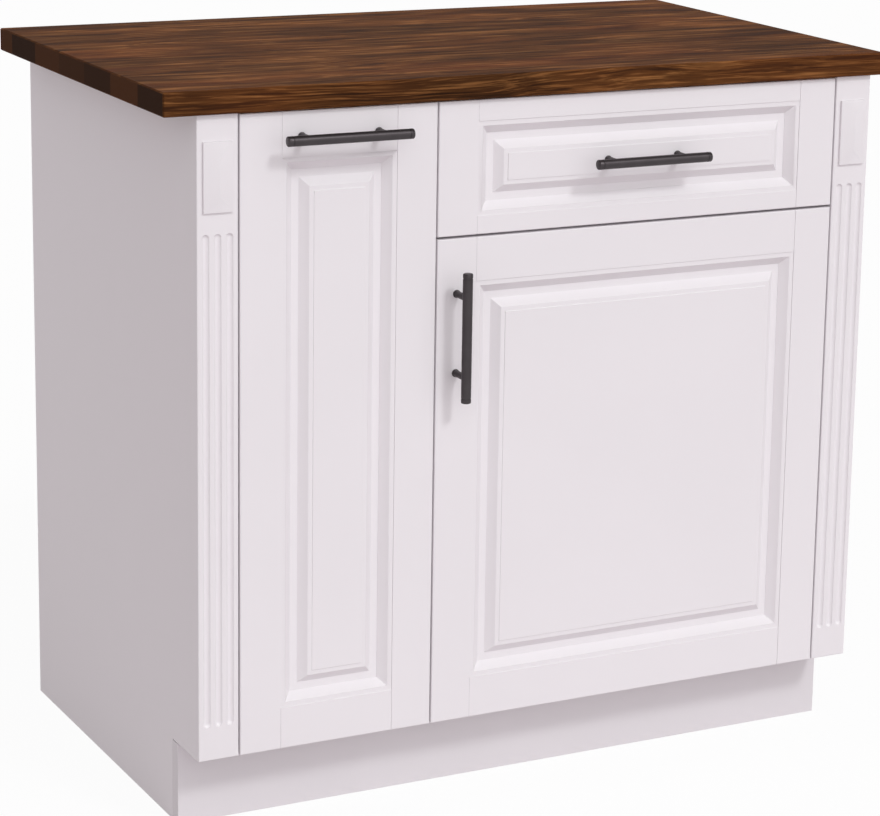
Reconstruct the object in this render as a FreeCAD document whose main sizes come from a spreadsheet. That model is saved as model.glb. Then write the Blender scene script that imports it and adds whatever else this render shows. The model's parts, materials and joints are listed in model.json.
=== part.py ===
import FreeCAD, Part
import os
import re

import Sketcher

# Kitchen island unit: a painted cabinet with a stained butcher-block worktop, a tall narrow
# pull-out beside a drawer over a door, and a fluted pilaster at each front corner.
# Millimetres. +X is to the right seen from the front, +Y goes to the back, +Z is up, and the
# origin is the middle of the whole unit's footprint, on the floor.

Vector = FreeCAD.Vector
doc = FreeCAD.newDocument("kitchen_island")

SIZES = [
    # The carcass and its boards.
    ("cabinet_width", 900),
    ("cabinet_depth", 568),
    ("toe_space_height", 102),
    ("box_height", 762),
    ("board_thickness", 18),
    ("back_thickness", 6),
    ("back_inset", 6),
    ("back_groove_depth", 6),
    ("rear_cover_thickness", 12),
    ("rear_cover_inset", 10),
    ("stretcher_depth", 80),
    ("spacer_depth", 60),
    # The worktop.
    ("worktop_thickness", 28),
    ("overhang_left", 42),
    ("overhang_right", 14),
    ("overhang_front", 8),
    ("worktop_edge_bevel", 1.5),
    # The toe kick.
    ("toe_recess", 85),
    ("toe_board_thickness", 18),
    ("toe_board_clearance", 1),
    # The fronts: outside sizes, the gaps between them and the gap behind them.
    ("front_thickness", 20),
    ("closing_gap", 2),
    ("side_reveal", 2),
    ("drawer_reveal", 3),
    ("top_reveal", 2),
    ("pull_out_front_width", 246.5),
    ("drawer_front_height", 160),
    # Their stiles and rails, from the outer edge to the start of the moulding.
    ("stile_width", 51),
    ("bottom_rail_width", 51),
    ("top_rail_width", 53),
    ("drawer_bottom_rail_width", 22),
    ("drawer_top_rail_width", 25.5),
    # The moulding, from the frame inwards: quirk, slope, valley, bevel, band, field.
    ("quirk_width", 6),
    ("quirk_depth", 1),
    ("slope_width", 9.7),
    ("slope_drop", 9.3),
    ("valley_lip", 0.4),
    ("valley_width", 9.2),
    ("bevel_width", 9.9),
    ("bevel_rise", 9.2),
    ("band_width", 5.5),
    ("field_rise", 1),
    ("tongue_thickness", 6),
    ("tongue_reach", 10),
    ("tongue_clearance", 0.5),
    ("joint_chamfer", 0.8),
    ("front_edge_round", 1.5),
    # The pilasters, their flutes and the hipped blocks at their heads.
    ("pilaster_width", 50),
    ("pilaster_edge_round", 1.5),
    ("flute_radius", 4.9),
    ("flute_depth", 3),
    ("flute_pitch", 14.5),
    ("flute_foot_margin", 45),
    ("flute_head_margin", 141),
    ("block_width", 36),
    ("block_height", 81),
    ("block_head_margin", 31),
    ("block_edge", 3),
    ("block_crown", 6),
    ("block_ridge", 1),
    # The bar handles.
    ("handle_length", 156),
    ("handle_centres", 96),
    ("handle_reach", 35),
    ("handle_bar_radius", 6),
    ("handle_end_chamfer", 0.8),
    ("handle_post_radius", 4),
    ("handle_bore_depth", 14),
    ("handle_inset", 29.5),
    ("door_handle_drop", 114),
    ("screw_radius", 2),
    ("screw_thread_clearance", 0.05),
    ("screw_hole_clearance", 0.5),
    ("screw_head_radius", 4),
    ("screw_head_height", 2.4),
    ("screw_grip", 10),
    # The telescopic slides.
    ("slide_thickness", 12.7),
    ("slide_height", 45),
    ("slide_metal_thickness", 1.2),
    ("ball_race_height", 4.3),
    ("channel_inset", 2.3),
    ("channel_clearance", 0.8),
    ("slide_setback", 2),
    ("slide_rear_clearance", 10),
    ("slide_lift", 42),
    # The drawer's box.
    ("drawer_side_thickness", 12),
    ("drawer_box_height", 100),
    ("drawer_clearance", 12),
    ("drawer_bottom_thickness", 6),
    ("drawer_bottom_lift", 10),
    ("drawer_groove_depth", 6),
    # The pull-out's trays.
    ("tray_height", 92),
    ("tray_wall", 8),
    ("tray_corner_round", 12),
    ("tray_spacing", 232),
    ("tray_clearance", 12),
    ("carrier_thickness", 12),
    # The shelf and its pins.
    ("shelf_side_clearance", 1),
    ("shelf_setback", 15),
    ("pin_radius", 2.5),
    ("pin_clearance", 0.05),
    ("pin_hole_depth", 10),
    ("pin_reach", 8),
    ("pin_pitch", 32),
    ("pin_row_inset", 60),
    ("first_pin_height", 226),
    ("shelf_pin_row", 1),
    # The concealed hinges.
    ("hinge_cup_radius", 17.4),
    ("hinge_cup_clearance", 0.1),
    ("hinge_cup_depth", 12),
    ("hinge_cup_wall", 0.8),
    ("hinge_cup_inset", 23),
    ("hinge_wing_width", 12),
    ("hinge_wing_height", 62),
    ("hinge_end_margin", 90),
    ("hinge_plate_thickness", 6),
    ("hinge_plate_depth", 40),
    ("hinge_plate_height", 50),
    ("hinge_plate_setback", 20),
    ("hinge_arm_width", 12),
    ("hinge_arm_thickness", 5),
    ("hinge_arm_overhang", 8),
    ("hinge_arm_tip_depth", 11),
    # The levelling legs and the worktop's screws.
    ("leg_plate_radius", 30),
    ("leg_plate_thickness", 4),
    ("leg_tube_radius", 15),
    ("leg_foot_radius", 24),
    ("leg_foot_height", 14),
    ("leg_inset", 60),
    ("worktop_screw_reach", 18),
    ("worktop_screw_spacing", 600),
]

# Places and lengths that follow from the sizes. The front faces lie on one plane, face_y.
PLACES = [
    ("front_reach", "max(overhang_front; handle_reach)"),
    ("middle_x", "(overhang_left - overhang_right) / 2"),
    ("face_y", "(front_reach - cabinet_depth) / 2"),
    ("rear_y", "face_y + cabinet_depth"),
    ("left_x", "middle_x - cabinet_width / 2"),
    ("right_x", "middle_x + cabinet_width / 2"),
    ("carcass_y", "face_y + front_thickness + closing_gap"),
    # The end panels and the toe space run to rear_y, and the rear cover stands in between them.
    ("rear_cover_y", "rear_y - rear_cover_inset"),
    ("carcass_rear_y", "rear_cover_y - rear_cover_thickness"),
    ("back_y", "carcass_rear_y - back_inset - back_thickness"),
    ("carcass_top_z", "toe_space_height + box_height"),
    ("box_z", "carcass_top_z - box_height"),
    ("floor_z", "box_z + board_thickness"),
    ("stretcher_z", "carcass_top_z - board_thickness"),
    # The gables stand behind the pilasters' inner edges.
    ("left_gable_x", "left_x + pilaster_width"),
    ("right_gable_x", "right_x - pilaster_width"),
    ("left_bay_x", "left_gable_x + board_thickness"),
    ("right_bay_x", "right_gable_x - board_thickness"),
    # The fronts.
    ("front_top_z", "carcass_top_z - top_reveal"),
    ("pull_out_x", "left_gable_x + side_reveal"),
    ("pull_out_end_x", "pull_out_x + pull_out_front_width"),
    ("door_x", "pull_out_end_x + side_reveal"),
    ("door_end_x", "right_gable_x - side_reveal"),
    ("door_width", "door_end_x - door_x"),
    ("drawer_z", "front_top_z - drawer_front_height"),
    ("door_top_z", "drawer_z - drawer_reveal"),
    ("door_height", "door_top_z - box_z"),
    ("pull_out_height", "front_top_z - box_z"),
    # The divider stands behind the gap between the pull-out and the door.
    ("divider_x", "pull_out_end_x + side_reveal / 2 - board_thickness / 2"),
    ("divider_end_x", "divider_x + board_thickness"),
    ("cross_rail_z", "drawer_z - drawer_reveal / 2 - board_thickness / 2"),
    # The moulding's depths below the front face.
    ("moulding_width", "quirk_width + slope_width"),
    ("valley_depth", "quirk_depth + slope_drop + valley_lip"),
    ("band_depth", "valley_depth - bevel_rise"),
    ("field_depth", "band_depth - field_rise"),
    ("panel_back_depth", "valley_depth + tongue_thickness"),
    # Handles: the bar's axis stands this far off the surface.
    ("handle_axis", "handle_reach - handle_bar_radius"),
    ("pull_out_middle_x", "pull_out_x + pull_out_front_width / 2"),
    ("drawer_middle_x", "door_x + door_width / 2"),
    # Slides: the drawer's box and the trays fill the bays between them, and end with them.
    ("slide_y", "carcass_y + slide_setback"),
    ("slide_length", "back_y - slide_rear_clearance - slide_y"),
    ("box_y", "face_y + front_thickness"),
    ("drawer_box_length", "slide_y + slide_length - box_y"),
    ("drawer_box_x", "divider_end_x + slide_thickness"),
    ("drawer_box_end_x", "right_bay_x - slide_thickness"),
    ("drawer_box_z", "cross_rail_z + board_thickness + drawer_clearance"),
    ("drawer_bottom_z", "drawer_box_z + drawer_bottom_lift"),
    ("drawer_slide_z", "drawer_box_z + slide_lift"),
    ("tray_x", "left_bay_x + slide_thickness"),
    ("tray_end_x", "divider_x - slide_thickness"),
    ("tray_z", "floor_z + tray_clearance"),
    ("tray_slide_z", "tray_z + slide_lift"),
    ("carrier_y", "slide_y + slide_length - carrier_thickness"),
    ("tray_length", "carrier_y - box_y"),
    # The shelf stands on pins, shelf_pin_row rows up from the lowest holes.
    ("pin_z", "floor_z + first_pin_height"),
    ("shelf_z", "pin_z + shelf_pin_row * pin_pitch + pin_radius"),
    ("front_pin_y", "carcass_y + pin_row_inset"),
    ("back_pin_y", "back_y - pin_row_inset"),
    # The hinges.
    ("hinge_cup_x", "door_end_x - hinge_cup_inset"),
    ("low_hinge_z", "box_z + hinge_end_margin"),
    ("high_hinge_z", "door_top_z - hinge_end_margin"),
    ("hinge_plate_x", "right_bay_x - hinge_plate_thickness"),
    ("hinge_plate_y", "carcass_y + hinge_plate_setback"),
    ("hinge_arm_x", "hinge_plate_x - hinge_arm_overhang - hinge_arm_thickness"),
]


def make_sheet(name, rows):
    """A spreadsheet with one value to a row: its name in column A, the value in column B."""
    sheet = doc.addObject("Spreadsheet::Sheet", name)
    for number, (alias, content) in enumerate(rows, start=1):
        sheet.set(f"A{number}", alias)
        sheet.set(f"B{number}", str(content))
        sheet.setAlias(f"B{number}", alias)
    doc.recompute()
    return sheet


sheet_of = {}


def bound(expression):
    """The expression with its sheet's name before each size or place."""
    return re.sub(r"[a-z_]+", lambda word: sheet_of.get(word.group(), "") + word.group(), expression)


sizes = make_sheet("sizes", SIZES)
for alias, number in SIZES:
    sheet_of[alias] = "sizes."
for alias, formula in PLACES:
    sheet_of[alias] = "places."
places = make_sheet("places", [(alias, "=" + bound(formula)) for alias, formula in PLACES])

nodes = {}


def keep(label, shape):
    """Record an object of the document as one finished piece of the unit."""
    shape.Label = label
    nodes[label] = shape
    return shape


def bind(shape, name, expression):
    shape.setExpression(name, bound(expression))


def move(shape, corner, turn=None):
    """Put an object's origin at three expressions, after turning it about one axis."""
    if turn:
        axis, angle = turn
        shape.Placement = FreeCAD.Placement(Vector(), FreeCAD.Rotation(Vector(*axis), angle))
    for letter, expression in zip("xyz", corner):
        bind(shape, f".Placement.Base.{letter}", expression)


def value(expression):
    return float(sizes.evalExpression(bound(expression)))


def block(name, low, high):
    """A plain rectangular solid between two corners."""
    box = doc.addObject("Part::Box", name)
    for side, start, end in zip(("Length", "Width", "Height"), low, high):
        bind(box, side, f"({end}) - ({start})")
    move(box, low)
    return box


X_AXIS = ((0, 1, 0), 90)
Y_AXIS = ((1, 0, 0), -90)


def rod(name, start, radius, length, turn=None):
    """A cylinder from its start point along +Z, or along the axis that it is turned to."""
    cylinder = doc.addObject("Part::Cylinder", name)
    bind(cylinder, "Radius", radius)
    bind(cylinder, "Height", length)
    move(cylinder, start, turn)
    return cylinder


FEW_SIDES = 8


def plain_rod(name, start, radius, length, turn=None):
    """A rod with a few flats in place of its round side, for hidden pieces and holes that repeat."""
    prism = doc.addObject("Part::Prism", name)
    prism.Polygon = FEW_SIDES
    bind(prism, "Circumradius", radius)
    bind(prism, "Height", length)
    move(prism, start, turn)
    return prism


def joined(name, shapes):
    fusion = doc.addObject("Part::MultiFuse", name)
    fusion.Shapes = shapes
    return fusion


def grouped(name, shapes):
    """Separate solids that share one node."""
    compound = doc.addObject("Part::Compound", name)
    compound.Links = shapes
    return compound


def cut(name, base, tools):
    """The base less its grooves or holes."""
    result = doc.addObject("Part::Cut", name)
    result.Base = base
    result.Tool = tools[0] if len(tools) == 1 else joined(name + "_cuts", tools)
    return result


def origin_plane(body, role):
    return next(feature for feature in body.Origin.OriginFeatures if feature.Role == role)


def sketch(body, plane, outlines, depth="0"):
    """Closed outlines on one of the body's own planes, every corner bound to its expressions."""
    drawing = body.newObject("Sketcher::SketchObject", body.Name + "_sketch")
    drawing.AttachmentSupport = [(origin_plane(body, plane), "")]
    drawing.MapMode = "FlatFace"
    if depth != "0":
        bind(drawing, ".AttachmentOffset.Base.z", depth)
    for outline in outlines:
        first = drawing.GeometryCount
        points = [Vector(value(across), value(up), 0) for across, up in outline]
        count = len(points)
        for number in range(count):
            drawing.addGeometry(Part.LineSegment(points[number], points[(number + 1) % count]), False)
        for number, corner in enumerate(outline):
            edge = first + number
            following = first + (number + 1) % count
            drawing.addConstraint(Sketcher.Constraint("Coincident", edge, 2, following, 1))
            for kind, expression, axis in (("DistanceX", corner[0], -2), ("DistanceY", corner[1], -1)):
                if expression == "0":
                    drawing.addConstraint(Sketcher.Constraint("PointOnObject", edge, 1, axis))
                else:
                    size = Sketcher.Constraint(kind, -1, 1, edge, 1, value(expression))
                    place = drawing.addConstraint(size)
                    bind(drawing, f"Constraints[{place}]", expression)
    return drawing


def rectangle(low, high):
    """The four corners of an outline between two opposite ones."""
    return [low, (high[0], low[1]), high, (low[0], high[1])]


def pad(body, drawing, length, backwards=False):
    feature = body.newObject("PartDesign::Pad", body.Name + "_pad")
    feature.Profile = drawing
    feature.Reversed = backwards
    bind(feature, "Length", length)
    doc.recompute()
    return feature


def pocket_through(body, drawing):
    """Cut the outlines right through the body, and check that something went."""
    before = body.Shape.Volume
    feature = body.newObject("PartDesign::Pocket", body.Name + "_pocket")
    feature.Profile = drawing
    feature.Type = "ThroughAll"
    feature.SideType = "Symmetric"
    doc.recompute()
    if feature.Shape.Volume >= before:
        raise RuntimeError(body.Label + ": the pocket cuts nothing")
    return feature


def loft(body, start, end):
    feature = body.newObject("PartDesign::AdditiveLoft", body.Name + "_loft")
    feature.Profile = start
    feature.Sections = [end]
    feature.Ruled = True
    doc.recompute()
    return feature


def dress_edges(body, kind, size, wanted):
    """Round (Fillet) or bevel (Chamfer) the edges that pass the test."""
    base = body.Tip
    names = []
    for number, edge in enumerate(base.Shape.Edges, start=1):
        if wanted(edge.BoundBox):
            names.append(f"Edge{number}")
    if not names:
        raise RuntimeError(body.Label + ": no edge to dress")
    feature = body.newObject("PartDesign::" + kind, body.Name + "_" + kind.lower())
    feature.Base = (base, names)
    bind(feature, "Radius" if kind == "Fillet" else "Size", size)
    doc.recompute()
    return feature


TOLERANCE = 0.001


def near(first, second):
    return abs(first - second) < TOLERANCE


def new_body(label):
    return doc.addObject("PartDesign::Body", label)


# --- The carcass: end panels to the floor, a box between two gables, and the toe kick ---------


def board(label, low, high):
    return keep(label, block(label, low, high))


def end_panel(label, corner_x):
    """A finished end panel that reaches the floor, notched in front for the toes."""
    body = new_body(label)
    outline = [
        ("carcass_y", "toe_space_height"),
        ("face_y + toe_recess", "toe_space_height"),
        ("face_y + toe_recess", "0"),
        ("rear_y", "0"),
        ("rear_y", "carcass_top_z"),
        ("carcass_y", "carcass_top_z"),
    ]
    pad(body, sketch(body, "YZ_Plane", [outline]), "board_thickness")
    move(body, (corner_x, "0", "0"))
    keep(label, body)


end_panel("left_end_panel", "left_x")
end_panel("right_end_panel", "right_x - board_thickness")

board("rear_cover_panel",
      ("left_x + board_thickness", "carcass_rear_y", "0"),
      ("right_x - board_thickness", "rear_cover_y", "carcass_top_z"))
board("bottom_panel",
      ("left_bay_x", "carcass_y", "box_z"),
      ("right_bay_x", "back_y", "floor_z"))
board("back_panel",
      ("left_bay_x - back_groove_depth", "back_y", "box_z"),
      ("right_bay_x + back_groove_depth", "back_y + back_thickness", "carcass_top_z"))
board("cross_rail",
      ("divider_end_x", "carcass_y", "cross_rail_z"),
      ("right_bay_x", "carcass_y + stretcher_depth", "cross_rail_z + board_thickness"))
board("toe_kick_board",
      ("left_x", "face_y + toe_recess - toe_board_thickness", "0"),
      ("right_x", "face_y + toe_recess", "toe_space_height - toe_board_clearance"))
board("shelf",
      ("divider_end_x + shelf_side_clearance", "carcass_y + shelf_setback", "shelf_z"),
      ("right_bay_x - shelf_side_clearance", "back_y - shelf_side_clearance",
       "shelf_z + board_thickness"))

PIN_ROWS = 2


def pin_holes(name, corner_x):
    """Two upright rows of holes for shelf pins, drilled towards +X."""
    holes = []
    for row in range(PIN_ROWS):
        for row_y in ("front_pin_y", "back_pin_y"):
            start = (corner_x, row_y, f"pin_z + {row} * pin_pitch")
            holes.append(rod(f"{name}_hole", start, "pin_radius + pin_clearance", "pin_hole_depth", X_AXIS))
    return holes


def gable(label, corner_x, groove_x, holes):
    """An upright side of the box, grooved near its rear edge for the back panel."""
    blank = block(label + "_blank", (corner_x, "carcass_y", "box_z"),
                  (f"{corner_x} + board_thickness", "carcass_rear_y", "carcass_top_z"))
    groove = block(label + "_groove", (groove_x, "back_y", "box_z"),
                   (f"{groove_x} + back_groove_depth", "back_y + back_thickness", "carcass_top_z"))
    keep(label, cut(label, blank, [groove] + holes))


gable("left_gable", "left_gable_x", "left_bay_x - back_groove_depth", [])
gable("right_gable", "right_bay_x", "right_bay_x", pin_holes("right_gable", "right_bay_x"))

divider_blank = block("divider_blank", ("divider_x", "carcass_y", "floor_z"),
                      ("divider_end_x", "back_y", "stretcher_z"))
keep("divider", cut("divider", divider_blank,
                    pin_holes("divider", "divider_end_x - pin_hole_depth")))

shelf_pins = []
for pin_y in ("front_pin_y", "back_pin_y"):
    for pin_x in ("divider_end_x - pin_reach", "right_bay_x - pin_reach"):
        pin_start = (pin_x, pin_y, "shelf_z - pin_radius")
        shelf_pins.append(plain_rod("shelf_pin", pin_start, "pin_radius", "2 * pin_reach", X_AXIS))
keep("shelf_pins", grouped("shelf_pins", shelf_pins))

spacers = []
for spacer_x, spacer_end_x in (("left_x + board_thickness", "left_gable_x"),
                               ("right_gable_x", "right_x - board_thickness")):
    for spacer_y in ("carcass_y", "carcass_rear_y - spacer_depth"):
        spacers.append(block("spacer_batten", (spacer_x, spacer_y, "box_z"),
                             (spacer_end_x, f"{spacer_y} + spacer_depth", "carcass_top_z")))
keep("spacer_battens", grouped("spacer_battens", spacers))


def leg(middle_x, middle_y):
    """A levelling leg: foot, tube and the plate under the cabinet's floor."""
    foot = plain_rod("leg_foot", (middle_x, middle_y, "0"), "leg_foot_radius", "leg_foot_height")
    tube = plain_rod("leg_tube", (middle_x, middle_y, "leg_foot_height"), "leg_tube_radius",
                     "box_z - leg_foot_height - leg_plate_thickness")
    plate = plain_rod("leg_plate", (middle_x, middle_y, "box_z - leg_plate_thickness"),
                      "leg_plate_radius", "leg_plate_thickness")
    return joined("levelling_leg", [foot, tube, plate])


legs = []
for leg_x in ("left_bay_x + leg_inset", "divider_end_x + leg_inset", "right_bay_x - leg_inset"):
    for leg_y in ("face_y + toe_recess + leg_inset", "back_y - leg_inset"):
        legs.append(leg(leg_x, leg_y))
keep("levelling_legs", grouped("levelling_legs", legs))

# --- The worktop, screwed down through the two stretchers -----------------------------------

worktop_screws = []
worktop_bores = []


def stretcher(label, start_y):
    """A flat rail across the top of the box, drilled for the worktop's screws."""
    blank = block(label + "_blank", ("left_bay_x", start_y, "stretcher_z"),
                  ("right_bay_x", f"{start_y} + stretcher_depth", "carcass_top_z"))
    holes = []
    for side in ("-", "+"):
        place = (f"middle_x {side} worktop_screw_spacing / 2", f"{start_y} + stretcher_depth / 2")
        holes.append(plain_rod(label + "_hole", (*place, "stretcher_z"),
                               "screw_radius + screw_hole_clearance", "board_thickness"))
        shank = plain_rod("worktop_screw_shank", (*place, "stretcher_z"), "screw_radius",
                          "board_thickness + worktop_screw_reach")
        head = plain_rod("worktop_screw_head", (*place, "stretcher_z - screw_head_height"),
                         "screw_head_radius", "screw_head_height")
        worktop_screws.append(joined("worktop_screw", [shank, head]))
        bore = plain_rod("worktop_bore", (*place, "carcass_top_z"),
                         "screw_radius + screw_thread_clearance", "worktop_screw_reach")
        worktop_bores.append(bore)
    keep(label, cut(label, blank, holes))


stretcher("front_stretcher", "carcass_y")
stretcher("back_stretcher", "back_y - stretcher_depth")
keep("worktop_screws", grouped("worktop_screws", worktop_screws))

# Its back edge is flush with the rear cover.
worktop_blank = new_body("worktop_blank")
worktop_outline = rectangle(("left_x - overhang_left", "face_y - overhang_front"),
                            ("right_x + overhang_right", "rear_cover_y"))
pad(worktop_blank, sketch(worktop_blank, "XY_Plane", [worktop_outline]), "worktop_thickness")
dress_edges(worktop_blank, "Chamfer", "worktop_edge_bevel", lambda box: True)
move(worktop_blank, ("0", "0", "carcass_top_z"))
keep("worktop", cut("worktop", worktop_blank, worktop_bores))

# --- The pilasters: round-ended flutes under a hipped block ----------------------------------

FLUTES = 3


def pilaster(label, corner_x):
    body = new_body(label)
    thickness = "front_thickness + closing_gap"
    pad(body, sketch(body, "XY_Plane", [rectangle(("0", "0"), ("pilaster_width", thickness))]),
        "box_height")
    dress_edges(body, "Fillet", "pilaster_edge_round", lambda box: near(box.YMax, 0))
    before = body.Shape.Volume
    flute_span = f"{FLUTES - 1} * flute_pitch"
    first_x = f"pilaster_width / 2 - {flute_span} / 2"
    centre_y = "flute_depth - flute_radius"
    channel = body.newObject("PartDesign::SubtractiveCylinder", label + "_flute")
    bind(channel, "Radius", "flute_radius")
    bind(channel, "Height", "box_height - flute_foot_margin - flute_head_margin")
    move(channel, (first_x, centre_y, "flute_foot_margin"))
    ends = []
    for end_z in ("flute_foot_margin", "box_height - flute_head_margin"):
        end = body.newObject("PartDesign::SubtractiveSphere", label + "_flute_end")
        bind(end, "Radius", "flute_radius")
        move(end, (first_x, centre_y, end_z))
        ends.append(end)
    flutes = body.newObject("PartDesign::LinearPattern", label + "_flutes")
    flutes.Originals = [channel] + ends
    flutes.Direction = (origin_plane(body, "X_Axis"), [""])
    bind(flutes, "Length", flute_span)
    flutes.Occurrences = FLUTES
    body.Tip = flutes
    doc.recompute()
    if body.Shape.Volume >= before:
        raise RuntimeError(label + ": the flutes cut nothing")
    move(body, (corner_x, "face_y", "box_z"))
    keep(label, body)


pilaster("left_pilaster", "left_x")
pilaster("right_pilaster", "right_gable_x")


def hipped_block(corner_x):
    """A small plinth with four slopes that meet in an upright ridge."""
    body = new_body("pilaster_block")
    base = [rectangle(("0", "0"), ("block_width", "block_height"))]
    pad(body, sketch(body, "XZ_Plane", base), "block_edge")
    crown = body.newObject("PartDesign::AdditiveWedge", "pilaster_block_crown")
    sides = {
        "Xmin": "0", "Xmax": "block_width", "Zmin": "0", "Zmax": "block_height",
        "Ymin": "0", "Ymax": "block_crown",
        "X2min": "block_width / 2 - block_ridge / 2", "X2max": "block_width / 2 + block_ridge / 2",
        "Z2min": "block_width / 2", "Z2max": "block_height - block_width / 2",
    }
    for side, expression in sides.items():
        bind(crown, side, expression)
    # Turned over, so that it rises out of the front of the plinth.
    move(crown, ("0", "-block_edge", "block_height"), ((1, 0, 0), 180))
    doc.recompute()
    move(body, (f"{corner_x} + pilaster_width / 2 - block_width / 2", "face_y",
                "carcass_top_z - block_head_margin - block_height"))
    return body


keep("pilaster_blocks", grouped("pilaster_blocks",
                                [hipped_block("left_x"), hipped_block("right_gable_x")]))

# --- The fronts: two stiles, two rails and a raised panel each ------------------------------

# How far a mitre's cut reaches past the moulding's lip.
CUT_SPARE = "1"


def mitre_outline(flat, flat_end, length, from_end):
    """What a moulding loses at one end of its stile or rail: all beyond a 45 degree line."""
    outer = f"{flat} + moulding_width + {CUT_SPARE}"
    inner_corner = (flat, flat_end)
    outer_corner = (outer, f"{flat_end} + moulding_width + {CUT_SPARE}")
    outline = [(flat, "0"), (outer, "0"), outer_corner, inner_corner]
    if flat_end == "0":
        outline = [(flat, "0"), (outer, "0"), (outer, f"moulding_width + {CUT_SPARE}")]
    if from_end:
        outline = [(across, f"{length} - ({up})") for across, up in reversed(outline)]
    return outline


def frame_member(label, flat, length, low_flat, high_flat, corner, angle):
    """A stile or rail: flat face, quirk and slope, grooved behind for the panel's tongue.

    It is drawn upright with its outer edge at x = 0 and its face at y = 0, then turned about Y.
    low_flat and high_flat are the widths of the rails that stop against it, or 0 on a rail.
    """
    body = new_body(label)
    lip = f"{flat} + moulding_width"
    groove = f"{lip} - tongue_reach - tongue_clearance"
    profile = [
        ("0", "0"),
        (flat, "0"),
        (flat, "quirk_depth"),
        (f"{flat} + quirk_width", "quirk_depth"),
        (lip, "quirk_depth + slope_drop"),
        (lip, "valley_depth"),
        (groove, "valley_depth"),
        (groove, "panel_back_depth"),
        (lip, "panel_back_depth"),
        (lip, "front_thickness"),
        ("0", "front_thickness"),
    ]
    pad(body, sketch(body, "XY_Plane", [profile]), length)
    pocket_through(body, sketch(body, "XZ_Plane", [
        mitre_outline(flat, low_flat, length, False),
        mitre_outline(flat, high_flat, length, True),
    ]))
    top = value(length)

    def outer_front(box):
        return near(box.YMax, 0) and near(box.XMax, 0)

    def end_front(box):
        return near(box.YMax, 0) and (near(box.ZMax, 0) or near(box.ZMin, top))

    if low_flat == "0":
        dress_edges(body, "Fillet", "front_edge_round", outer_front)
        dress_edges(body, "Chamfer", "joint_chamfer", end_front)
    else:
        dress_edges(body, "Fillet", "front_edge_round",
                    lambda box: outer_front(box) or end_front(box))
    move(body, corner, ((0, 1, 0), angle))
    return body


def raised_panel(label, corner, width, height):
    """A panel with a tongue all round, a bevel up to a flat band, and a raised field."""
    body = new_body(label)

    def inset(distance):
        return [rectangle((distance, distance), (f"{width} - ({distance})", f"{height} - ({distance})"))]

    bevel = "tongue_reach + valley_width"
    band = f"{bevel} + bevel_width"
    field = f"{band} + band_width"
    slab = [rectangle(("0", "0"), (width, height))]
    pad(body, sketch(body, "XZ_Plane", slab, "-valley_depth"), "tongue_thickness", backwards=True)
    loft(body, sketch(body, "XZ_Plane", inset(bevel), "-valley_depth"),
         sketch(body, "XZ_Plane", inset(band), "-band_depth"))
    pad(body, sketch(body, "XZ_Plane", inset(field), "-band_depth"), "field_rise")
    move(body, corner)
    return body


def framed_front(name, corner_x, corner_z, width, height, low_rail, high_rail):
    """Make the five pieces of one front. They are kept once their holes are drilled."""
    rail_length = f"{width} - 2 * stile_width"
    inset = "moulding_width - tongue_reach"
    end_x = f"{corner_x} + {width}"
    end_z = f"{corner_z} + {height}"
    return {
        f"{name}_left_stile": frame_member(
            f"{name}_left_stile", "stile_width", height, low_rail, high_rail,
            (corner_x, "face_y", corner_z), 0),
        f"{name}_right_stile": frame_member(
            f"{name}_right_stile", "stile_width", height, high_rail, low_rail,
            (end_x, "face_y", end_z), 180),
        f"{name}_bottom_rail": frame_member(
            f"{name}_bottom_rail", low_rail, rail_length, "0", "0",
            (f"{end_x} - stile_width", "face_y", corner_z), -90),
        f"{name}_top_rail": frame_member(
            f"{name}_top_rail", high_rail, rail_length, "0", "0",
            (f"{corner_x} + stile_width", "face_y", end_z), 90),
        f"{name}_panel": raised_panel(
            f"{name}_panel", (f"{corner_x} + stile_width + {inset}", "face_y",
                              f"{corner_z} + {low_rail} + {inset}"),
            f"{rail_length} - 2 * ({inset})",
            f"{height} - {low_rail} - {high_rail} - 2 * ({inset})"),
    }


def keep_front(pieces, holes):
    """Keep a front's pieces, each with the holes that are listed for it."""
    for label, body in pieces.items():
        if label in holes:
            body.Label = label + "_blank"
            keep(label, cut(label + "_drilled", body, holes[label]))
        else:
            keep(label, body)


# --- The bar handles -------------------------------------------------------------------------


def bar_handle(label, middle, depth, angle):
    """A round bar on two posts, each bored for its screw, lying along X before it is turned."""
    body = new_body(label)
    bar = body.newObject("PartDesign::AdditiveCylinder", label + "_bar")
    bind(bar, "Radius", "handle_bar_radius")
    bind(bar, "Height", "handle_length")
    move(bar, ("-handle_length / 2", "-handle_axis", "0"), X_AXIS)
    doc.recompute()
    half = value("handle_length / 2")
    dress_edges(body, "Chamfer", "handle_end_chamfer",
                lambda box: near(abs(box.Center.x), half) and near(box.XLength, 0))
    for side in ("-", ""):
        post = body.newObject("PartDesign::AdditiveCylinder", label + "_post")
        bind(post, "Radius", "handle_post_radius")
        bind(post, "Height", "handle_axis")
        move(post, (f"{side}handle_centres / 2", "0", "0"), ((1, 0, 0), 90))
        doc.recompute()
    for side in ("-", ""):
        bore = body.newObject("PartDesign::SubtractiveCylinder", label + "_bore")
        bind(bore, "Radius", "screw_radius + screw_thread_clearance")
        bind(bore, "Height", "handle_bore_depth")
        move(bore, (f"{side}handle_centres / 2", "0", "0"), ((1, 0, 0), 90))
        doc.recompute()
    move(body, (middle[0], f"face_y + {depth}", middle[1]), ((0, 1, 0), angle))
    keep(label, body)


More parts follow.
